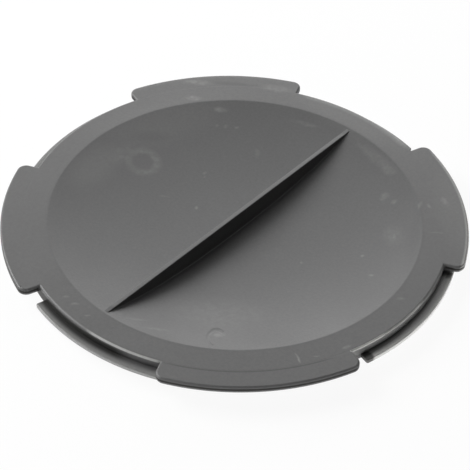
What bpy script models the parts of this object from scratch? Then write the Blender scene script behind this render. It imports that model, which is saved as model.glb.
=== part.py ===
# Blanking cap for a round ventilation collar: a single moulding in dark grey plastic.
# Metres, +Z up. The cap stands on the lowest point of its dished middle, with its axis on Z
# and its grip rib along X.

from math import asin, cos, hypot, pi, radians, sin, sqrt, tan

import bmesh
import bpy

# Disc: a flat outer ring round a shallow dish
disc_radius = 0.075        # outside of the skirt, a loose fit in a 150 mm collar
ring_width = 0.0095        # flat ring, from the disc's edge to the dish
dish_depth = 0.0075        # ring's top to the deepest point of the dish
dish_fullness = 2.45       # power of the dish's curve: 2 is a bowl, more is flatter in the middle
shell = 0.002              # wall of the ring and the dish
skirt_wall = 0.002         # wall of the skirt under the ring's edge
rim_round = 0.003          # crease between the ring and the dish
edge_round = 0.0007        # upper edge of the disc, seen between the tabs
skirt_round = 0.0003       # lower edges of the skirt

# Tabs: plates that stand out over the collar's rim
tab_count = 4
tab_reach = 0.0067         # how far a tab stands out from the skirt
tab_thickness = 0.0028
tab_span = radians(48.6)   # angle that one tab covers
tab_turn = radians(46.6)   # from the grip rib to the middle of the first tab
tab_step = 0.00005         # a tab's top lies this far below the ring's
tab_corner = 0.0032        # outer corners, seen from above
tab_top_round = 0.0014     # full, soft upper edge
tab_low_round = 0.0009

# Lugs: thin plates between the tabs that turn in under the collar's rim
rim_gap = 0.0006           # height left between tabs and lugs for the rim's sheet
lug_reach = 0.0035
lug_thickness = 0.0016
lug_lead = radians(2.8)    # open notch between a tab's end and the next lug
lug_corner = 0.0006
lug_top_round = 0.0004
lug_low_round = 0.0002
skirt_toe = 0.0001         # the skirt reaches this far below the lugs

# Stops: small walls that join the far end of each lug to the next tab and end the cap's turn
stop_span = radians(1.2)
stop_setback = radians(0.3)    # from the tab's end to the stop, and from the stop to the lug's end
stop_inset = 0.0002            # the stop stands in from the lug's outer face

# Grip rib: a thin wall right across the dish
rib_thickness = 0.0016     # along its top edge
rib_draft = radians(1.5)   # each face leans out towards the foot
rib_drop = 0.0002          # top of the rib below the ring's top
rib_foot = 0.0004          # small flare where the rib meets the dish
rib_sink = 0.0001          # the flare runs on this far below the dish's surface
rib_least = 0.00005        # height that is left of the rib's face where it fades out

# Most that a rounding may take of what it is on
side_share = 0.45          # of each side of a corner
top_share = 0.55           # of a plate's thickness, from above
low_share = 0.35           # of a plate's thickness, from below
corner_share = 0.9         # of a plate's corner, seen from above

# Fineness of the curves
turn_steps = 72            # facets in a full turn
dish_steps = 8
round_steps = 3
rib_steps = 26
merge_distance = 0.00001
smooth_angle = radians(35)

# Places that follow from the sizes
dish_radius = disc_radius - ring_width
skirt_height = tab_step + tab_thickness + rim_gap + lug_thickness + skirt_toe
ring_top = max(dish_depth + shell, skirt_height)
tab_top = ring_top - tab_step
lug_top = tab_top - tab_thickness - rim_gap
plate_root = disc_radius - skirt_wall / 2      # tabs and lugs start inside the skirt's wall
stop_top = tab_top - tab_thickness / 2
stop_height = stop_top - lug_top + lug_thickness / 2


def surface_height(radius):
    # height of the cap's upper face at a distance from the axis
    share = min(radius / dish_radius, 1)
    return ring_top - dish_depth * (1 - share ** dish_fullness)


def rounded(corners):
    # outline through corners (x, z, radius), with an arc in place of each rounded one
    points = [corners[0][:2]]
    for before, corner, after in zip(corners, corners[1:], corners[2:]):
        x, z, radius = corner
        if radius == 0:
            points.append((x, z))
            continue
        to_a = (before[0] - x, before[1] - z)
        to_b = (after[0] - x, after[1] - z)
        length_a = hypot(*to_a)
        length_b = hypot(*to_b)
        along = (to_a[0] * to_b[0] + to_a[1] * to_b[1]) / (length_a * length_b)
        half_turn = asin(sqrt(max(0, (1 + along) / 2)))
        reach = min(radius * tan(half_turn), side_share * length_a, side_share * length_b)
        start = (x + to_a[0] / length_a * reach, z + to_a[1] / length_a * reach)
        end = (x + to_b[0] / length_b * reach, z + to_b[1] / length_b * reach)
        # the arc, as a weighted curve whose middle weight is the cosine of the half turn
        weight = cos(half_turn)
        for step in range(round_steps + 1):
            t = step / round_steps
            a = (1 - t) ** 2
            b = 2 * t * (1 - t) * weight
            c = t ** 2
            total = a + b + c
            points.append(((a * start[0] + b * x + c * end[0]) / total,
                           (a * start[1] + b * z + c * end[1]) / total))
    points.append(corners[-1][:2])
    return points


def clear_scene():
    for item in list(bpy.data.objects):
        bpy.data.objects.remove(item, do_unlink=True)


def grey_plastic():
    material = bpy.data.materials.new("moulded_grey_plastic")
    material.use_nodes = True
    shader = material.node_tree.nodes["Principled BSDF"]
    shader.inputs["Base Color"].default_value = (0.12, 0.12, 0.12, 1)
    shader.inputs["Roughness"].default_value = 0.45
    shader.inputs["Metallic"].default_value = 0
    return material


def add_object(name, mesh):
    item = bpy.data.objects.new(name, mesh)
    bpy.context.scene.collection.objects.link(item)
    return item


def disc_body():
    # ring, dish and skirt, turned from one outline that runs out over the top and back below
    dish = [dish_radius * step / dish_steps for step in range(dish_steps)]
    skirt_low = ring_top - skirt_height
    skirt_inside = disc_radius - skirt_wall
    corners = [(radius, surface_height(radius), 0) for radius in dish]
    corners += [(dish_radius, ring_top, rim_round),
                (disc_radius, ring_top, edge_round),
                (disc_radius, skirt_low, skirt_round),
                (skirt_inside, skirt_low, skirt_round),
                (skirt_inside, ring_top - shell, 0),
                (dish_radius, ring_top - shell, 0)]
    corners += [(radius, surface_height(radius) - shell, 0) for radius in reversed(dish)]
    outline = rounded(corners)
    mesh = bpy.data.meshes.new("disc")
    mesh.from_pydata([(x, 0, z) for x, z in outline],
                     [(step, step + 1) for step in range(len(outline) - 1)], [])
    item = add_object("disc", mesh)
    turn = item.modifiers.new("turn", "SCREW")
    turn.steps = turn_steps
    turn.render_steps = turn_steps
    turn.use_merge_vertices = True
    turn.merge_threshold = merge_distance
    return item


def spot(radius, turn):
    return (radius * cos(turn), radius * sin(turn))


def arc(middle, radius, start, end, steps):
    # points along an arc in plan, with both its ends
    points = [spot(radius, start + (end - start) * step / steps) for step in range(steps + 1)]
    return [(middle[0] + x, middle[1] + y) for x, y in points]


def plate_outline(start, end, reach, corner, inset):
    # plan of a plate on the skirt: one outer corner, its rim, the other corner and back along its root
    outer = disc_radius + reach
    corner_orbit = outer - corner
    lean = asin(corner / corner_orbit)
    trim = asin(inset / plate_root)
    steps = max(2, round((end - start) / (2 * pi) * turn_steps))
    axis = (0, 0)
    points = arc(spot(corner_orbit, start + lean), corner - inset, start - pi / 2, start + lean, round_steps)
    points += arc(axis, outer - inset, start + lean, end - lean, steps)[1:-1]
    points += arc(spot(corner_orbit, end - lean), corner - inset, end - lean, end + pi / 2, round_steps)
    points += arc(axis, plate_root, end - trim, start + trim, steps)
    return points


def plate(name, start, end, reach, top, thickness, corner, top_round, low_round):
    # a sector plate with soft upper and lower edges, built up in level outlines
    top_round = min(top_round, top_share * thickness, corner_share * corner)
    low_round = min(low_round, low_share * thickness, corner_share * corner)
    quarter = [pi / 2 * step / round_steps for step in range(round_steps + 1)]
    levels = [(top - top_round * (1 - cos(turn)), top_round * (1 - sin(turn))) for turn in quarter]
    foot = top - thickness
    levels += [(foot + low_round * (1 - sin(turn)), low_round * (1 - cos(turn))) for turn in quarter]
    shape = bmesh.new()
    rings = []
    for height, inset in levels:
        outline = plate_outline(start, end, reach, corner, inset)
        rings.append([shape.verts.new((x, y, height)) for x, y in outline])
    return closed_solid(name, shape, rings)


def closed_solid(name, shape, rings):
    # walls between neighbouring rings of points, and a flat face over each end
    for one, other in zip(rings, rings[1:]):
        for step in range(len(one)):
            after = (step + 1) % len(one)
            shape.faces.new((one[step], other[step], other[after], one[after]))
    shape.faces.new(rings[0])
    shape.faces.new(rings[-1])
    bmesh.ops.recalc_face_normals(shape, faces=shape.faces)
    mesh = bpy.data.meshes.new(name)
    shape.to_mesh(mesh)
    shape.free()
    return add_object(name, mesh)


def tabs_and_lugs():
    plates = []
    pitch = 2 * pi / tab_count
    for number in range(tab_count):
        middle = tab_turn + number * pitch
        tab_end = middle + tab_span / 2
        stop_start = middle + pitch - tab_span / 2 + stop_setback
        stop_end = stop_start + stop_span
        plates.append(plate(f"tab_{number + 1}", middle - tab_span / 2, tab_end, tab_reach, tab_top,
                            tab_thickness, tab_corner, tab_top_round, tab_low_round))
        plates.append(plate(f"lug_{number + 1}", tab_end + lug_lead, stop_end + stop_setback, lug_reach,
                            lug_top, lug_thickness, lug_corner, lug_top_round, lug_low_round))
        plates.append(plate(f"stop_{number + 1}", stop_start, stop_end, lug_reach - stop_inset,
                            stop_top, stop_height, lug_corner / 2, lug_low_round, lug_low_round))
    return plates


def rib_section(x):
    # one cross-section of the rib, from its top edge down one face to its root in the dish's wall
    surface = surface_height(abs(x))
    top = ring_top - rib_drop
    knee = min(surface + rib_foot, top - rib_least)
    toe = min(surface, knee) - rib_sink
    half_top = rib_thickness / 2
    half_knee = half_top + (top - knee) * tan(rib_draft)
    half_toe = half_knee + knee - toe
    return [(half_top, top), (half_knee, knee), (half_toe, toe), (half_toe, toe - shell / 2)]


def grip_rib():
    # the ends run on into the ring, past the crease at the dish's edge
    half_length = dish_radius + shell / 2
    shape = bmesh.new()
    rings = []
    for step in range(rib_steps + 1):
        x = half_length * (2 * step / rib_steps - 1)
        side = rib_section(x)
        section = side + [(-y, z) for y, z in reversed(side)]
        rings.append([shape.verts.new((x, y, z)) for y, z in section])
    return closed_solid("grip_rib", shape, rings)


def fuse(name, body, additions):
    # one solid from the body and everything moulded on to it
    for item in additions:
        union = body.modifiers.new("add_" + item.name, "BOOLEAN")
        union.operation = "UNION"
        union.solver = "EXACT"
        union.object = item
    bpy.context.view_layer.update()
    graph = bpy.context.evaluated_depsgraph_get()
    mesh = bpy.data.meshes.new_from_object(body.evaluated_get(graph))
    for item in [body] + additions:
        bpy.data.objects.remove(item, do_unlink=True)
    mesh.name = name
    mesh.shade_smooth()
    mesh.set_sharp_from_angle(angle=smooth_angle)
    return add_object(name, mesh)


def build():
    clear_scene()
    cap = fuse("blanking_cap", disc_body(), tabs_and_lugs() + [grip_rib()])
    cap.data.materials.clear()
    cap.data.materials.append(grey_plastic())


build()
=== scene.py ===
from math import asin, atan, cos, hypot, pi, radians, sin, sqrt, tan

import bmesh
import bpy
from mathutils import Matrix, Vector


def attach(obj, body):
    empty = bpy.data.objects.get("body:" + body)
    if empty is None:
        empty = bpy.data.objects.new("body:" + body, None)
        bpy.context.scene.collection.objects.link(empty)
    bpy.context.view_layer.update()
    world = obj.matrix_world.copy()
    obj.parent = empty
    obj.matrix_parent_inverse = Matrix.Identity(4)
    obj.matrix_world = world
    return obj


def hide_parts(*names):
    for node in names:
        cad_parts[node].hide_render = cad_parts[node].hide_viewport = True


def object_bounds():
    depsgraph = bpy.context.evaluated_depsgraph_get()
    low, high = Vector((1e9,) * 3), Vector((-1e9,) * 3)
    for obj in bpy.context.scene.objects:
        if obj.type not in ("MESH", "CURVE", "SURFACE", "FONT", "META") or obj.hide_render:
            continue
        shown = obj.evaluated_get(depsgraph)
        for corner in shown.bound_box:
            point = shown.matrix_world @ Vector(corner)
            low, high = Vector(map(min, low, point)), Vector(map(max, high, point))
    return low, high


# Blanking cap of a round ventilation collar, dressed and lit as a studio photograph.
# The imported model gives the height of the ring's top; the finer mesh repeats its other sizes.

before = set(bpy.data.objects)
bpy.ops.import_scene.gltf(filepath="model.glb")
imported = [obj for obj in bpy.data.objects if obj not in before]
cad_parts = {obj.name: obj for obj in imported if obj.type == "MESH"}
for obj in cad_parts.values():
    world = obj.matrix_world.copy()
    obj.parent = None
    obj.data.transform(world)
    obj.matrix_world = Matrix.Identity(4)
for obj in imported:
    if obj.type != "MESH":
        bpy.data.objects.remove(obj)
cadLow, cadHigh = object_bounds()
ringTop = cadHigh.z


# Working in edit mode

def mm(value):
    return value / 1000


touching = mm(0.001)  # points this near to one another count as one


def startOutline(name, place):
    # a plane drawn in to one vertex, from which an outline is then extruded
    bpy.ops.object.select_all(action="DESELECT")
    bpy.ops.mesh.primitive_plane_add(size=mm(1), location=place)
    piece = bpy.context.object
    piece.name = name
    bpy.ops.object.transform_apply(location=True, rotation=True, scale=True)
    bpy.ops.object.mode_set(mode="EDIT")
    bpy.ops.mesh.select_mode(type="VERT")
    bpy.ops.mesh.select_all(action="SELECT")
    bpy.ops.mesh.merge(type="CENTER")
    return piece


def extrudeAlong(points):
    # carries the selected vertex through the points, which start where it is
    for here, there in zip(points, points[1:]):
        step = Vector(there) - Vector(here)
        bpy.ops.mesh.extrude_region_move(TRANSFORM_OT_translate={"value": step})


def pick(piece, kind, test):
    # selects only the vertices or edges of the piece in edit mode that pass the test
    bpy.ops.mesh.select_all(action="DESELECT")
    bpy.ops.mesh.select_mode(type=kind)
    shape = bmesh.from_edit_mesh(piece.data)
    items = shape.verts if kind == "VERT" else shape.edges
    for item in items:
        if test(item):
            item.select_set(True)
    shape.select_flush(True)
    bmesh.update_edit_mesh(piece.data)


def closeSeams():
    bpy.ops.mesh.select_all(action="SELECT")
    bpy.ops.mesh.remove_doubles(threshold=touching)
    bpy.ops.mesh.normals_make_consistent(inside=False)


def applyModifier(piece, kind, **settings):
    bpy.ops.object.select_all(action="DESELECT")
    piece.select_set(True)
    bpy.context.view_layer.objects.active = piece
    bpy.ops.object.modifier_add(type=kind)
    modifier = piece.modifiers[-1]
    for key, value in settings.items():
        setattr(modifier, key, value)
    bpy.ops.object.modifier_apply(modifier=modifier.name)


def roundedOutline(corners, steps):
    # corners are (x, z, radius): each rounded one becomes an arc with a guard point on either side,
    # which keeps the flats beside it flat when the shape is shaded smooth
    guard = mm(0.08)
    points = [corners[0][:2]]
    for before, corner, after in zip(corners, corners[1:], corners[2:]):
        x, z, radius = corner
        if radius == 0:
            points.append((x, z))
            continue
        toA = (before[0] - x, before[1] - z)
        toB = (after[0] - x, after[1] - z)
        lengthA = hypot(*toA)
        lengthB = hypot(*toB)
        along = (toA[0] * toB[0] + toA[1] * toB[1]) / (lengthA * lengthB)
        halfTurn = asin(sqrt(max(0, (1 + along) / 2)))
        reach = radius * tan(halfTurn)
        start = (x + toA[0] / lengthA * reach, z + toA[1] / lengthA * reach)
        end = (x + toB[0] / lengthB * reach, z + toB[1] / lengthB * reach)
        middleWeight = cos(halfTurn)
        points.append((start[0] + toA[0] / lengthA * guard, start[1] + toA[1] / lengthA * guard))
        for step in range(steps + 1):
            t = step / steps
            a = (1 - t) ** 2
            b = 2 * t * (1 - t) * middleWeight
            c = t ** 2
            total = a + b + c
            points.append(((a * start[0] + b * x + c * end[0]) / total,
                           (a * start[1] + b * z + c * end[1]) / total))
        points.append((end[0] + toB[0] / lengthB * guard, end[1] + toB[1] / lengthB * guard))
    points.append(corners[-1][:2])
    return points


# Disc: a flat ring round a shallow dish, with a skirt below the ring's edge

discSizes = {
    "radius": mm(75),
    "ringWidth": mm(9.5),
    "dishDepth": mm(7.5),
    "dishFullness": 2.45,
    "wall": mm(2),
    "skirtWall": mm(2),
    "skirtDepth": mm(5.5),
    "creaseRadius": mm(2.5),
    "edgeRadius": mm(0.7),
    "footRadius": mm(0.3),
    "insideRadius": mm(0.5),
    "turnSteps": 288,
    "dishSteps": 26,
    "roundSteps": 8,
}
dishRadius = discSizes["radius"] - discSizes["ringWidth"]


def surfaceHeight(radius):
    share = min(radius / dishRadius, 1)
    return ringTop - discSizes["dishDepth"] * (1 - share ** discSizes["dishFullness"])


def makeDisc():
    sizes = discSizes
    wall = sizes["wall"]
    skirtFoot = ringTop - sizes["skirtDepth"]
    skirtInside = sizes["radius"] - sizes["skirtWall"]
    radii = [dishRadius * step / sizes["dishSteps"] for step in range(sizes["dishSteps"])]
    corners = [(radius, surfaceHeight(radius), 0) for radius in radii]
    corners += [(dishRadius, ringTop, sizes["creaseRadius"]),
                (sizes["radius"], ringTop, sizes["edgeRadius"]),
                (sizes["radius"], skirtFoot, sizes["footRadius"]),
                (skirtInside, skirtFoot, sizes["footRadius"]),
                (skirtInside, ringTop - wall, sizes["insideRadius"]),
                (dishRadius, ringTop - wall, sizes["creaseRadius"])]
    corners += [(radius, surfaceHeight(radius) - wall, 0) for radius in reversed(radii)]
    outline = [(x, 0, z) for x, z in roundedOutline(corners, sizes["roundSteps"])]
    disc = startOutline("blankingCapFine", outline[0])
    extrudeAlong(outline)
    bpy.ops.mesh.select_all(action="SELECT")
    bpy.ops.mesh.spin(steps=sizes["turnSteps"], angle=2 * pi, center=(0, 0, 0), axis=(0, 0, 1))
    closeSeams()
    bpy.ops.object.mode_set(mode="OBJECT")
    return disc


# Tabs that lie over the collar's rim, thin lugs between them that turn in under it, and stops
# that join each lug's far end to the next tab

tabSizes = {
    "count": 4,
    "reach": mm(6.7),
    "thickness": mm(2.8),
    "span": radians(48.6),
    "turn": radians(46.6),
    "step": mm(0.015),
    "corner": mm(3.2),
    "topRound": mm(0.8),
    "lowRound": mm(0.9),
}
lugSizes = {
    "gap": mm(0.6),
    "reach": mm(3.5),
    "thickness": mm(1.6),
    "lead": radians(2.8),
    "corner": mm(0.6),
    "topRound": mm(0.4),
    "lowRound": mm(0.2),
}
stopSizes = {
    "span": radians(1.2),
    "setback": radians(0.3),
    "reach": mm(3.3),
    "corner": mm(0.3),
    "topRound": mm(0.2),
    "lowRound": mm(0.2),
}
plateSteps = {"edge": 6, "corner": 12, "perTurn": 288}


def arcPoints(middle, radius, start, end, steps, height):
    turns = [start + (end - start) * step / steps for step in range(steps + 1)]
    return [(middle[0] + radius * cos(turn), middle[1] + radius * sin(turn), height) for turn in turns]


def plateOutline(start, end, sizes, root, low):
    # plan of a plate: one outer corner, its rim, the other corner and back along its root
    outer = discSizes["radius"] + sizes["reach"]
    corner = sizes["corner"]
    orbit = outer - corner
    lean = asin(corner / orbit)
    steps = max(2, round((end - start) / (2 * pi) * plateSteps["perTurn"]))
    cornerSteps = plateSteps["corner"]
    firstMiddle = (orbit * cos(start + lean), orbit * sin(start + lean))
    lastMiddle = (orbit * cos(end - lean), orbit * sin(end - lean))
    points = arcPoints(firstMiddle, corner, start - pi / 2, start + lean, cornerSteps, low)
    points += arcPoints((0, 0), outer, start + lean, end - lean, steps, low)[1:-1]
    points += arcPoints(lastMiddle, corner, end - lean, end + pi / 2, cornerSteps, low)
    points += arcPoints((0, 0), root, end, start, steps, low)
    return points


def makePlate(name, start, end, top, thickness, sizes):
    # a plan outline raised to the plate's thickness, with soft upper and lower edges
    root = discSizes["radius"] - discSizes["skirtWall"] / 2
    low = top - thickness
    points = plateOutline(start, end, sizes, root, low)
    plate = startOutline(name, points[0])
    extrudeAlong(points)
    bpy.ops.mesh.select_all(action="SELECT")
    bpy.ops.mesh.edge_face_add()
    bpy.ops.mesh.extrude_region_move(TRANSFORM_OT_translate={"value": (0, 0, thickness)})
    closeSeams()

    def isEdgeAt(height):
        def test(edge):
            level = all(abs(vertex.co.z - height) < touching for vertex in edge.verts)
            inRoot = all(hypot(vertex.co.x, vertex.co.y) < root + mm(0.01) for vertex in edge.verts)
            return level and not inRoot
        return test

    pick(plate, "EDGE", isEdgeAt(top))
    bpy.ops.mesh.bevel(offset=sizes["topRound"], segments=plateSteps["edge"], affect="EDGES")
    pick(plate, "EDGE", isEdgeAt(low))
    bpy.ops.mesh.bevel(offset=sizes["lowRound"], segments=plateSteps["edge"], affect="EDGES")
    bpy.ops.object.mode_set(mode="OBJECT")
    return plate


def copiesRound(piece, count):
    # further copies of the piece, turned about the cap's axis, each with its own mesh
    made = [piece]
    for number in range(1, count):
        bpy.ops.object.select_all(action="DESELECT")
        piece.select_set(True)
        bpy.context.view_layer.objects.active = piece
        bpy.ops.object.duplicate(linked=False)
        copy = bpy.context.object
        copy.data.transform(Matrix.Rotation(2 * pi * number / count, 4, "Z"))
        made.append(copy)
    return made


def makeTabsAndLugs():
    tabTop = ringTop - tabSizes["step"]
    tabThickness = tabSizes["thickness"]
    lugThickness = lugSizes["thickness"]
    lugTop = tabTop - tabThickness - lugSizes["gap"]
    stopTop = tabTop - tabThickness / 2
    stopHeight = stopTop - lugTop + lugThickness / 2
    tabStart = tabSizes["turn"] - tabSizes["span"] / 2
    tabEnd = tabSizes["turn"] + tabSizes["span"] / 2
    stopStart = tabStart + 2 * pi / tabSizes["count"] + stopSizes["setback"]
    stopEnd = stopStart + stopSizes["span"]
    lugStart = tabEnd + lugSizes["lead"]
    lugEnd = stopEnd + stopSizes["setback"]
    plates = [makePlate("tab", tabStart, tabEnd, tabTop, tabThickness, tabSizes),
              makePlate("lug", lugStart, lugEnd, lugTop, lugThickness, lugSizes),
              makePlate("stop", stopStart, stopEnd, stopTop, stopHeight, stopSizes)]
    return [copiesRound(plate, tabSizes["count"]) for plate in plates]


# Grip rib across the dish

ribSizes = {
    "thickness": mm(1.6),
    "draft": radians(1.5),
    "drop": mm(0.2),
    "topRound": mm(0.2),
    "foot": mm(0.45),
    "sink": mm(0.07),
    "least": mm(0.05),
    "stations": 40,
    "roundSteps": 4,
}


def ribSection(x):
    # half of the rib's section: top, rounded edge, face, hollow flare at the foot and root
    sizes = ribSizes
    top = ringTop - sizes["drop"]
    half = sizes["thickness"] / 2
    soft = sizes["topRound"]
    surface = surfaceHeight(abs(x))
    knee = min(surface - sizes["sink"] + sizes["foot"], top - soft - sizes["least"])
    kneeOut = half + (top - knee) * tan(sizes["draft"])
    points = [(0, top)]
    for step in range(sizes["roundSteps"] + 1):
        turn = pi / 2 * step / sizes["roundSteps"]
        points.append((half - soft + soft * sin(turn), top - soft + soft * cos(turn)))
    for step in range(sizes["roundSteps"] + 1):
        turn = pi / 2 * step / sizes["roundSteps"]
        points.append((kneeOut + sizes["foot"] * (1 - cos(turn)), knee - sizes["foot"] * sin(turn)))
    toeOut, toe = points[-1]
    root = toe - discSizes["wall"] / 3
    points += [(toeOut, root), (0, root)]
    return points


def makeRib():
    # a quarter of the rib as a sheet, extruded outwards from the middle and mirrored both ways
    sizes = ribSizes
    reach = dishRadius + discSizes["wall"] / 2
    stations = [reach * sin(pi / 2 * step / sizes["stations"]) for step in range(sizes["stations"] + 1)]
    outline = [(0, y, z) for y, z in ribSection(0)]
    rib = startOutline("rib", outline[0])
    extrudeAlong(outline)
    footFrom = 2 + sizes["roundSteps"]  # from this point on, the section moves with the dish
    for here, there in zip(stations, stations[1:]):
        before = ribSection(here)
        after = ribSection(there)
        pick(rib, "VERT", lambda vertex: vertex.co.x > here - touching)
        bpy.ops.mesh.extrude_region_move(TRANSFORM_OT_translate={"value": (there - here, 0, 0)})
        for (y, z), (newY, newZ) in list(zip(before, after))[footFrom:]:
            pick(rib, "VERT", lambda vertex: vertex.co.x > there - touching and
                 hypot(vertex.co.y - y, vertex.co.z - z) < touching)
            bpy.ops.transform.translate(value=(0, newY - y, newZ - z))
    pick(rib, "VERT", lambda vertex: vertex.co.x > stations[-1] - touching)
    bpy.ops.mesh.edge_face_add()
    bpy.ops.object.mode_set(mode="OBJECT")
    applyModifier(rib, "MIRROR", use_axis=(True, True, False), merge_threshold=touching)
    bpy.ops.object.mode_set(mode="EDIT")
    closeSeams()
    bpy.ops.object.mode_set(mode="OBJECT")
    return rib


# Moulding point: a shallow groove in the dish that goes part of the way round a small oval

pointSizes = {
    "x": mm(-48.6),
    "y": mm(-34.1),
    "radius": mm(2.9),
    "start": radians(-5),
    "span": radians(205),
    "stretch": 1.7,
    "stretchAngle": radians(40),
    "cutterRadius": mm(2),
    "depth": mm(0.07),
    "steps": 36,
    "roundSteps": 48,
}


def makePointCutter():
    # a bent round bar, laid along the dish's slope so that it sinks in by the groove's depth;
    # spin turns clockwise as seen from above, so its angle is negative here
    sizes = pointSizes
    reach = hypot(sizes["x"], sizes["y"])
    lift = sizes["cutterRadius"] - sizes["depth"]
    turns = [2 * pi * step / sizes["roundSteps"] for step in range(sizes["roundSteps"] + 1)]
    section = [(sizes["radius"] + sizes["cutterRadius"] * cos(turn), 0,
                lift + sizes["cutterRadius"] * sin(turn)) for turn in turns]
    cutter = startOutline("pointCutter", section[0])
    extrudeAlong(section)
    bpy.ops.mesh.select_all(action="SELECT")
    bpy.ops.mesh.spin(steps=sizes["steps"], angle=-sizes["span"], center=(0, 0, 0), axis=(0, 0, 1))
    closeSeams()
    bpy.ops.mesh.fill_holes(sides=0)
    closeSeams()
    bpy.ops.object.mode_set(mode="OBJECT")
    step = mm(0.5)
    slope = atan((surfaceHeight(reach + step) - surfaceHeight(reach - step)) / (2 * step))
    sideways = Vector((-sizes["y"], sizes["x"], 0)) / reach
    place = Matrix.Translation((sizes["x"], sizes["y"], surfaceHeight(reach)))
    tilt = Matrix.Rotation(-slope, 4, sideways)
    long = Vector((cos(sizes["stretchAngle"]), sin(sizes["stretchAngle"]), 0))
    stretch = Matrix.Scale(sizes["stretch"], 4, long)
    cutter.data.transform(place @ tilt @ stretch @ Matrix.Rotation(sizes["start"], 4, "Z"))
    return cutter


# The cap in one piece

def carve(body, cutter):
    applyModifier(body, "BOOLEAN", operation="DIFFERENCE", solver="EXACT", object=cutter)
    bpy.data.objects.remove(cutter, do_unlink=True)


def fuse(body, additions):
    # the additions don't touch one another, so they go on as one object
    bpy.ops.object.select_all(action="DESELECT")
    for item in additions:
        item.select_set(True)
    bpy.context.view_layer.objects.active = additions[0]
    if len(additions) > 1:
        bpy.ops.object.join()
    joined = bpy.context.object
    applyModifier(body, "BOOLEAN", operation="UNION", solver="EXACT", object=joined)
    bpy.data.objects.remove(joined, do_unlink=True)


shading = {"smoothAngle": radians(32), "flatWeight": 50}


def makeCap():
    print("Turning the disc")
    cap = makeDisc()
    print("Adding tabs, lugs, stops and the grip rib")
    for additions in makeTabsAndLugs() + [[makeRib()]]:
        fuse(cap, additions)
    print("Cutting the moulding point's groove")
    carve(cap, makePointCutter())
    bpy.ops.object.select_all(action="DESELECT")
    cap.select_set(True)
    bpy.context.view_layer.objects.active = cap
    bpy.ops.object.shade_smooth_by_angle(angle=shading["smoothAngle"])
    applyModifier(cap, "WEIGHTED_NORMAL", mode="FACE_AREA", weight=shading["flatWeight"], keep_sharp=True)
    print("The cap has", len(cap.data.polygons), "faces")
    return cap


# Materials

def linear(hexColour):
    channels = [int(hexColour[place:place + 2], 16) / 255 for place in (1, 3, 5)]
    return [part / 12.92 if part <= 0.04045 else ((part + 0.055) / 1.055) ** 2.4 for part in channels] + [1]


def addNode(tree, kind, settings=None, **inputs):
    # one node with its settings; an input is a value, or the output socket that feeds it
    node = tree.nodes.new(kind)
    for key, value in (settings or {}).items():
        setattr(node, key, value)
    for key, value in inputs.items():
        byNumber = key[0] == "i" and key[1:].isdigit()
        socket = node.inputs[int(key[1:]) if byNumber else key.replace("_", " ")]
        if isinstance(value, bpy.types.NodeSocket):
            tree.links.new(value, socket)
        else:
            socket.default_value = value
    return node


# the clouding is the mould's flow, and the grain is drawn coarser than the real one so that it shows
plasticLook = {
    "colour": "#595959",
    "roughness": 0.42,
    "roughnessSpread": 0.06,
    "roughnessFade": (0.3, 0.7),
    "ior": 1.49,
    "specular": 0.5,
    "mottleSize": mm(16),
    "mottleDetail": 3,
    "mottleShare": 0.06,
    "grainSize": mm(0.9),
    "grainDetail": 4,
    "grainShare": 0.3,
    "grainHeight": mm(0.03),
}
# colours and fades for the marks and wear, and for the painted highlights and shade
wearAndPaintedLightLook = {
    "pale": "#c8c8c5",
    "dark": "#454545",
    "markShare": 0.46,
    "markFade": (0.2, 1.3),
    "ovalFade": (0.7, 1),
    "upwardFade": (0.3, 0.7),
    "edgeRoughness": 0.24,
    "edgeFade": (0.14, 0.3),
    "raggedBy": mm(1.2),
    "raggedSize": mm(2.2),
    "raggedDetail": 2,
    "patchiness": 0.5,
    "patchFade": (0.35, 0.65),
}
# colour and specular level of the painted shade
paintedShadeLook = {"colour": "#201f1d", "specular": 0.1}

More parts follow.
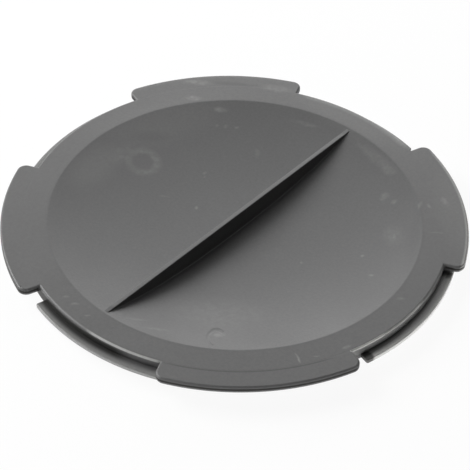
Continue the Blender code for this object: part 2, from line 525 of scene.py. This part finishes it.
# marks on the face: x, y, half length, half width in mm, turn in degrees, strength
paleMarks = {
    "farPatches": [
        (42.5, 44, 2.6, 1.3, -60, 0.38), (38, 37.5, 1, 0.8, 0, 0.22), (36, 40, 0.9, 0.8, 0, 0.18),
        (40.5, 34, 1, 0.7, 0, 0.2), (40, 55.5, 3.2, 1.6, -55, 0.35), (36, 20, 2.4, 1.2, 40, 0.14)],
    "farStreak": [(58, 15, 6, 1.1, -71, 0.14)],
    "farTab": [(48.5, 61, 6, 2, -54, 0.35), (66, 36, 6, 2.4, -62, 0.28)],
    "rightPatches": [
        (59.5, -17, 12, 2.6, 76, 0.16), (57, -24.5, 4, 2.2, 76, 0.2), (45.5, -31.5, 2.4, 1.6, 10, 0.3),
        (45, -36, 1.5, 1, 0, 0.25), (31, -46, 6, 4, 40, 0.12)],
    "haloByTheRing": [(0, 54.5, 6, 4, 10, 0.12)],
    "nearPatch": [(-37, -25.5, 16, 9, -50, 0.12)],
    "byTheMouldingPoint": [(-46.5, -33, 2.6, 1.4, -50, 0.25)],
    "scratches": [
        (30.6, -47, 2.4, 0.5, 40, 0.35), (-38.8, -60, 2.4, 0.45, 62, 0.6),
        (-34.5, -63.7, 1.8, 0.4, -50, 0.3), (39.8, -58, 2.4, 0.45, -50, 0.25),
        (-60, -9, 4, 0.7, -50, 0.16), (-58.5, -17.5, 4.5, 0.8, -55, 0.16),
        (-4.3, 29.7, 2, 0.5, -60, 0.15), (49.5, -48, 1.6, 0.7, 60, 0.25), (48, -45, 2.2, 0.7, 20, 0.25),
        (55.4, -50.4, 2.6, 1.2, 60, 0.28), (-24.6, -68.5, 1.8, 0.6, -20, 0.35)],
    "specks": [
        (15.2, 27.6, 0.9, 0.7, 0, 0.2), (13.6, 26.4, 0.7, 0.5, 0, 0.15), (-0.5, 17.6, 0.9, 0.7, 30, 0.38),
        (17, -43.5, 0.8, 0.6, 0, 0.28), (10, -52.5, 1.2, 0.7, -50, 0.28), (5, -68.3, 1.5, 0.8, -50, 0.3),
        (2, -28.6, 0.7, 0.6, 0, 0.2), (-69, 9.8, 1.6, 0.6, -50, 0.24),
        (-68.5, 14.3, 1.2, 0.6, -50, 0.2), (-70, 3, 1.1, 0.5, -50, 0.22)],
}
# paler places without an outline; the one on the far ring is a painted sheen
softMarks = {
    "farRingSheen": [(72, 4, 34, 9, -90, 0.1)],
    "farDish": [(22, 57, 30, 12, -20, 0.1), (-12, 57, 16, 8, 10, 0.14)],
    "rightTab": [(54, -57, 26, 9, 46, 0.1)],
}
darkMarks = {
    "smudge": [(14, 53.5, 8, 3, -40, 0.25)],
    "farTabStreak": [(57, 50, 11, 1.4, -54, 0.35)],
    # painted shade along the dish's right rim
    "shadeByTheRightRim": [(32, -54, 19, 2.4, 29, 0.22)],
}
# a pale ring left on the dish: it fades in over the first two radii and out over the last two
ringMark = {"x": 2.8, "y": 47.1, "radii": (3.1, 4.9, 5.3, 8), "strength": 0.2}

# bands by radius and by depth below the ring's top, in mm: each fades in and out over its pairs,
# and "around" keeps it to an oval: x, y, half length, half width in mm and turn in degrees
faceBand = {"radii": (65, 67, 90, 91), "depths": (-1, 0, 0.3, 0.6), "strength": 0.025}
# painted light on the edges: highlights along the ring's edge, a sheen on the ring's far side, reflections
# on the rims of the right and far tabs, and painted light on the lugs and on the wall in the near right gap
edgeLightBands = {
    "ring": {"radii": (74.2, 74.6, 75.1, 75.2), "depths": (0.04, 0.14, 0.4, 0.7), "strength": 0.08},
    "ringOnTheLeft": {"radii": (74, 74.4, 75.1, 75.2), "depths": (0.02, 0.1, 0.6, 1),
                      "strength": 0.6, "around": (-72.3, -15.5, 16, 9, 102)},
    "ringOnTheRight": {"radii": (74.2, 74.5, 75.1, 75.2), "depths": (0.02, 0.08, 0.6, 1),
                       "strength": 0.6, "around": (-16, -73, 32, 12, -14)},
    "ringByTheNearTab": {"radii": (73.8, 74.3, 75.1, 75.2), "depths": (0.01, 0.05, 0.7, 1),
                         "strength": 1, "around": (-27, -70, 20, 9, -20)},
    "ringAtTheFarSide": {"radii": (71, 75, 76, 77), "depths": (-1, 0, 0.6, 1),
                         "strength": 0.26, "around": (74, 2, 30, 14, -90)},
    "wallOnTheRight": {"radii": (74.6, 74.8, 75.3, 75.9), "depths": (0.6, 0.9, 3, 3.6),
                       "strength": 0.2, "around": (-8, -75, 32, 12, -4)},
    "tabOnTheRight": {"radii": (80, 81, 83, 84), "depths": (-1, 0, 5, 6),
                      "strength": 0.5, "around": (54, -59, 42, 16, 46.6)},
    "farTab": {"radii": (78.5, 81.7, 83, 84), "depths": (-1, 0, 5, 6),
               "strength": 0.12, "around": (57, 59, 50, 16, -43)},
    "lugs": {"radii": (75.6, 78.2, 80, 81), "depths": (3, 3.2, 6, 7), "strength": 0.24},
    "lugOnTheRight": {"radii": (75, 78.6, 80, 81), "depths": (3, 3.2, 6, 7),
                      "strength": 0.95, "around": (2, -76, 36, 14, 0)},
}
# a painted highlight along the rib's top
ribTopHighlight = {
    "halfWidth": 1,
    "softness": 0.1,
    "band": {"radii": (-1, 0, 61, 62), "depths": (-1, 0, 0.35, 0.6), "strength": 0.075},
}
# a painted shade line where the ring meets the near tab
nearTabSeamShade = {"radii": (74.5, 74.85, 75.05, 75.4), "depths": (-1, 0, 0.3, 0.6),
               "strength": 0.8, "around": (-54, -52, 34, 12, -45)}
# painted shade: in the crease on the left, in the pit by the near stop, as a line along the tabs' sides and
# on the left tab's side
paintedShadeBands = {
    "creaseOnTheLeft": {"radii": (74.6, 74.9, 75.6, 77.8), "depths": (0.6, 2, 5, 6),
                        "strength": 0.75, "around": (-74, 11, 34, 14, 82)},
    "byTheNearStop": {"radii": (74.9, 75.2, 79, 80), "depths": (0.8, 1.4, 5, 6),
                      "strength": 0.8, "around": (-21.8, -73.8, 3.8, 3.8)},
    "shadeLineOnTheTabSides": {"radii": (75.3, 75.6, 90, 91), "depths": (0.6, 0.9, 1.5, 1.8), "strength": 0.9},
    "leftTabSide": {"radii": (80, 81, 83, 84), "depths": (0.2, 0.7, 5, 6),
                    "strength": 0.5, "around": (-62, 53, 50, 16, 46.6)},
}


def fade(tree, value, limits, low=0, high=1):
    # goes smoothly from low at the first limit to high at the second
    return addNode(tree, "ShaderNodeMapRange", {"interpolation_type": "SMOOTHSTEP"}, Value=value,
                   From_Min=limits[0], From_Max=limits[1], To_Min=low, To_Max=high).outputs["Result"]


def combine(tree, operation, first, *others):
    total = first
    for other in others:
        total = addNode(tree, "ShaderNodeMath", {"operation": operation}, i0=total, i1=other).outputs[0]
    return total


def combineVectors(tree, operation, *vectors):
    inputs = {f"i{number}": vector for number, vector in enumerate(vectors)}
    return addNode(tree, "ShaderNodeVectorMath", {"operation": operation}, **inputs).outputs


def between(tree, value, limits):
    # 0 outside the outer pair of limits and 1 inside the inner pair
    return combine(tree, "MULTIPLY", fade(tree, value, limits[:2]), fade(tree, value, limits[2:], 1, 0))


def noise(tree, place, size, detail):
    return addNode(tree, "ShaderNodeTexNoise", Vector=place, Scale=1 / size, Detail=detail).outputs


def mixColour(tree, share, first, second):
    mix = addNode(tree, "ShaderNodeMix", {"data_type": "RGBA"}, i0=share, i6=first, i7=second)
    return mix.outputs[2]


def distanceTo(tree, place, x, y, halfLength, halfWidth, turn=0):
    # 0 at the mark's middle and 1 on its edge
    local = addNode(tree, "ShaderNodeMapping", {"vector_type": "TEXTURE"}, Vector=place,
                    Location=(mm(x), mm(y), 0), Rotation=(0, 0, radians(turn)),
                    Scale=(mm(halfLength), mm(halfWidth), 1))
    return combineVectors(tree, "LENGTH", local.outputs[0])["Value"]


def surfaceSpot(tree):
    # what a mask reads: the place, its radius and depth below the ring's top in mm, its distance
    # from the rib's middle, and whether the surface faces up
    coordinates = addNode(tree, "ShaderNodeTexCoord").outputs
    parts = addNode(tree, "ShaderNodeSeparateXYZ", Vector=coordinates["Object"]).outputs
    flat = addNode(tree, "ShaderNodeCombineXYZ", X=parts["X"], Y=parts["Y"]).outputs[0]
    normal = addNode(tree, "ShaderNodeSeparateXYZ", Vector=coordinates["Normal"]).outputs
    span = combineVectors(tree, "LENGTH", flat)["Value"]
    below = combine(tree, "SUBTRACT", ringTop, parts["Z"])
    return {"place": coordinates["Object"],
            "radius": combine(tree, "MULTIPLY", span, 1000),
            "depth": combine(tree, "MULTIPLY", below, 1000),
            "sideways": combine(tree, "ABSOLUTE", parts["Y"], 0),
            "facesUp": fade(tree, normal["Z"], wearAndPaintedLightLook["upwardFade"])}


def markMask(tree, place, groups):
    masks = []
    for group in groups.values():
        for *mark, strength in group:
            masks.append(fade(tree, distanceTo(tree, place, *mark), wearAndPaintedLightLook["markFade"], strength, 0))
    return combine(tree, "MAXIMUM", *masks)


def bandMask(tree, spot, band):
    masks = [between(tree, spot["radius"], band["radii"]), between(tree, spot["depth"], band["depths"])]
    if "around" in band:
        distance = distanceTo(tree, spot["place"], *band["around"])
        masks.append(fade(tree, distance, wearAndPaintedLightLook["ovalFade"], 1, 0))
    return combine(tree, "MULTIPLY", *masks, band["strength"])


def bandsMask(tree, spot, bands):
    return combine(tree, "MAXIMUM", *[bandMask(tree, spot, band) for band in bands.values()])


def marksAndPaintedLight(tree, spot):
    # pale and dark marks on the face, with ragged outlines and patchy inside; among them are a painted
    # sheen on the far ring, painted shade by the dish's right rim and a painted shade line at the near tab
    wobble = noise(tree, spot["place"], wearAndPaintedLightLook["raggedSize"], wearAndPaintedLightLook["raggedDetail"])
    push = [wearAndPaintedLightLook["raggedBy"]] * 3
    shifted = combineVectors(tree, "MULTIPLY_ADD", wobble["Color"], push, spot["place"])[0]
    ragged = combineVectors(tree, "SUBTRACT", shifted, [wearAndPaintedLightLook["raggedBy"] / 2] * 3)[0]
    ringDistance = distanceTo(tree, ragged, ringMark["x"], ringMark["y"], 1, 1)
    ring = combine(tree, "MULTIPLY", between(tree, ringDistance, ringMark["radii"]), ringMark["strength"])
    patchy = fade(tree, wobble["Fac"], wearAndPaintedLightLook["patchFade"], 1 - wearAndPaintedLightLook["patchiness"], 1)
    onFace = combine(tree, "MULTIPLY", spot["facesUp"], wearAndPaintedLightLook["markShare"])
    marks = combine(tree, "MAXIMUM", markMask(tree, ragged, paleMarks), ring)
    soft = combine(tree, "MULTIPLY", markMask(tree, spot["place"], softMarks), onFace)
    pale = combine(tree, "ADD", combine(tree, "MULTIPLY", marks, patchy, onFace), soft,
                   bandMask(tree, spot, faceBand))
    darkMarksAndShade = combine(tree, "MAXIMUM", markMask(tree, ragged, darkMarks), bandMask(tree, spot, nearTabSeamShade))
    return pale, combine(tree, "MULTIPLY", darkMarksAndShade, spot["facesUp"])


# paints the highlight along the rib's top
def paintedRibHighlight(tree, spot):
    edge = ribTopHighlight["halfWidth"]
    across = fade(tree, spot["sideways"], (mm(edge), mm(edge + ribTopHighlight["softness"])), 1, 0)
    return combine(tree, "MULTIPLY", across, bandMask(tree, spot, ribTopHighlight["band"]))


def mouldedPolypropylene():
    # dark grey satin plastic: faintly cloudy, with a fine grain, pale scuff marks, painted highlights on
    # the edges and the rib's top, the edges also made smoother, and painted shade in the creases, by the
    # near stop and on the tabs' sides
    material = bpy.data.materials.new("mouldedPolypropylene")
    material.use_nodes = True
    tree = material.node_tree
    shader = tree.nodes["Principled BSDF"]
    spot = surfaceSpot(tree)
    paleMarksAndSheen, dark = marksAndPaintedLight(tree, spot)
    # painted highlights and reflections on the edges
    paintedEdgeLight = bandsMask(tree, spot, edgeLightBands)
    pale = combine(tree, "MAXIMUM", paleMarksAndSheen, paintedRibHighlight(tree, spot), paintedEdgeLight)
    # painted shade in the creases, by the near stop and on the tabs' sides
    paintedShade = bandsMask(tree, spot, paintedShadeBands)

    cloud = noise(tree, spot["place"], plasticLook["mottleSize"], plasticLook["mottleDetail"])
    grain = noise(tree, spot["place"], plasticLook["grainSize"], plasticLook["grainDetail"])
    plain = linear(plasticLook["colour"])
    share = plasticLook["mottleShare"]
    cloudy = mixColour(tree, cloud["Fac"], [part * (1 - share) for part in plain],
                       [part * (1 + share) for part in plain])
    colour = mixColour(tree, pale, cloudy, linear(wearAndPaintedLightLook["pale"]))
    colour = mixColour(tree, dark, colour, linear(wearAndPaintedLightLook["dark"]))
    colour = mixColour(tree, paintedShade, colour, linear(paintedShadeLook["colour"]))
    uneven = combine(tree, "MULTIPLY", combine(tree, "SUBTRACT", grain["Fac"], 0.5),
                     plasticLook["grainShare"])
    grained = addNode(tree, "ShaderNodeVectorMath", {"operation": "SCALE"}, i0=colour,
                      Scale=combine(tree, "ADD", uneven, 1))
    tree.links.new(grained.outputs[0], shader.inputs["Base Color"])

    middle = plasticLook["roughness"]
    spread = plasticLook["roughnessSpread"]
    satin = fade(tree, cloud["Fac"], plasticLook["roughnessFade"], middle - spread / 2, middle + spread / 2)
    # the edges with painted light are also made smoother
    roughness = addNode(tree, "ShaderNodeMix", i0=fade(tree, paintedEdgeLight, wearAndPaintedLightLook["edgeFade"]), i2=satin,
                        i3=wearAndPaintedLightLook["edgeRoughness"])
    tree.links.new(roughness.outputs[0], shader.inputs["Roughness"])
    shader.inputs["IOR"].default_value = plasticLook["ior"]
    dull = fade(tree, paintedShade, (0, 1), plasticLook["specular"], paintedShadeLook["specular"])
    tree.links.new(dull, shader.inputs["Specular IOR Level"])

    height = combine(tree, "MULTIPLY", grain["Fac"], plasticLook["grainHeight"])
    bump = addNode(tree, "ShaderNodeBump", Height=height, Distance=1, Strength=1)
    tree.links.new(bump.outputs[0], shader.inputs["Normal"])
    return material


# Stage, lamps and camera

stageLook = {
    "radius": 3,
    "corners": 96,
    "paper": "#bcbcbc",
    "paperGlow": 2,
    "glow": 0.93,
    "shadowShare": 0.08,
}


def whiteShare(tree, inReflections):
    # 1 for what the camera sees itself or through glass, the given share for reflections, otherwise 0
    path = addNode(tree, "ShaderNodeLightPath")
    direct = addNode(tree, "ShaderNodeMath", {"operation": "MAXIMUM"},
                     i0=path.outputs["Is Camera Ray"], i1=path.outputs["Is Transmission Ray"])
    both = addNode(tree, "ShaderNodeMath", {"operation": "MULTIPLY_ADD"},
                   i0=path.outputs["Is Glossy Ray"], i1=inReflections, i2=direct.outputs[0])
    return both.outputs[0]


def makeStage():
    # translucent paper lit from below, which the camera and reflections see as white with a faint shadow
    bpy.ops.object.select_all(action="DESELECT")
    bpy.ops.mesh.primitive_circle_add(vertices=stageLook["corners"], radius=stageLook["radius"],
                                      fill_type="NGON")
    floor = bpy.context.object
    floor.name = "floor"
    material = bpy.data.materials.new("paperFloor")
    material.use_nodes = True
    tree = material.node_tree
    tree.nodes.remove(tree.nodes["Principled BSDF"])
    sheet = addNode(tree, "ShaderNodeBsdfDiffuse", Color=linear(stageLook["paper"]))
    underlight = addNode(tree, "ShaderNodeEmission", Strength=stageLook["paperGlow"])
    paper = addNode(tree, "ShaderNodeAddShader", i0=sheet.outputs[0], i1=underlight.outputs[0])
    share = stageLook["shadowShare"]
    faint = addNode(tree, "ShaderNodeBsdfDiffuse", Color=(share, share, share, 1))
    glow = addNode(tree, "ShaderNodeEmission", Strength=stageLook["glow"])
    white = addNode(tree, "ShaderNodeAddShader", i0=faint.outputs[0], i1=glow.outputs[0])
    mixed = addNode(tree, "ShaderNodeMixShader", Fac=whiteShare(tree, 1),
                    i1=paper.outputs[0], i2=white.outputs[0])
    tree.links.new(mixed.outputs[0], tree.nodes["Material Output"].inputs["Surface"])
    floor.data.materials.append(material)


cameraSetup = {
    "azimuth": radians(219.62),
    "elevation": radians(41.457),
    "roll": radians(1.835),
    "distance": mm(559.39),
    "focalPixels": 1597.1,
    "framePixels": 470,
    "aimPixel": (234.65, 213.7),
    "sensor": 36,
    "nearest": 0.05,
    "farthest": 20,
}


def makeCamera():
    setup = cameraSetup
    aim = Vector((0, 0, ringTop - tabSizes["step"]))
    away = Vector((cos(setup["elevation"]) * cos(setup["azimuth"]),
                   cos(setup["elevation"]) * sin(setup["azimuth"]), sin(setup["elevation"])))
    bpy.ops.object.camera_add(location=aim + away * setup["distance"])
    camera = bpy.context.object
    look = away.to_track_quat("Z", "Y").to_matrix() @ Matrix.Rotation(setup["roll"], 3, "Z")
    camera.rotation_euler = look.to_euler()
    camera.data.sensor_width = setup["sensor"]
    camera.data.lens = setup["focalPixels"] / setup["framePixels"] * setup["sensor"]
    middle = (setup["framePixels"] - 1) / 2
    camera.data.shift_x = (middle - setup["aimPixel"][0]) / setup["framePixels"]
    camera.data.shift_y = (setup["aimPixel"][1] - middle) / setup["framePixels"]
    camera.data.clip_start = setup["nearest"]
    camera.data.clip_end = setup["farthest"]
    bpy.context.scene.camera = camera


roomInReflections = 0.5


def makeWorld():
    # the camera sees a white room and reflections a greyer one, but the room itself gives no light
    world = bpy.data.worlds.new("studio")
    world.use_nodes = True
    tree = world.node_tree
    room = tree.nodes["Background"]
    room.inputs["Color"].default_value = linear("#ffffff")
    tree.links.new(whiteShare(tree, roomInReflections), room.inputs["Strength"])
    bpy.context.scene.world = world


# azimuth is measured to the left from the far side of the cap, as the camera sees it;
# spans are the angles that a softbox fills, and brightness 1 is a white sheet in plain light
lampDistance = 1.2
lamps = {
    "leftSoftbox": {"azimuth": 70, "elevation": 37, "across": 36, "upright": 34, "brightness": 8.65},
    "backSoftbox": {"azimuth": 2, "elevation": 19, "across": 50, "upright": 34, "brightness": 2.2},
    "highSoftbox": {"azimuth": -20, "elevation": 58, "across": 30, "upright": 30, "brightness": 1.3},
}


def spanLength(degrees):
    return 2 * lampDistance * tan(radians(degrees) / 2)


def makeLamps():
    farSide = cameraSetup["azimuth"] - pi
    for name, lamp in lamps.items():
        azimuth = farSide + radians(lamp["azimuth"])
        elevation = radians(lamp["elevation"])
        away = Vector((cos(elevation) * cos(azimuth), cos(elevation) * sin(azimuth), sin(elevation)))
        bpy.ops.object.light_add(type="AREA", location=away * lampDistance)
        light = bpy.context.object
        light.name = name
        light.rotation_euler = away.to_track_quat("Z", "Y").to_euler()
        light.visible_camera = False
        light.data.shape = "RECTANGLE"
        light.data.size = spanLength(lamp["across"])
        light.data.size_y = spanLength(lamp["upright"])
        light.data.energy = lamp["brightness"] * pi * light.data.size * light.data.size_y


cap = makeCap()
print("Mixing the plastic")
cap.data.materials.clear()
cap.data.materials.append(mouldedPolypropylene())
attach(cap, "root")
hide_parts("blanking_cap")
print("Setting the stage")
makeStage()
makeCamera()
makeWorld()
makeLamps()
bpy.context.scene.view_settings.view_transform = "Standard"
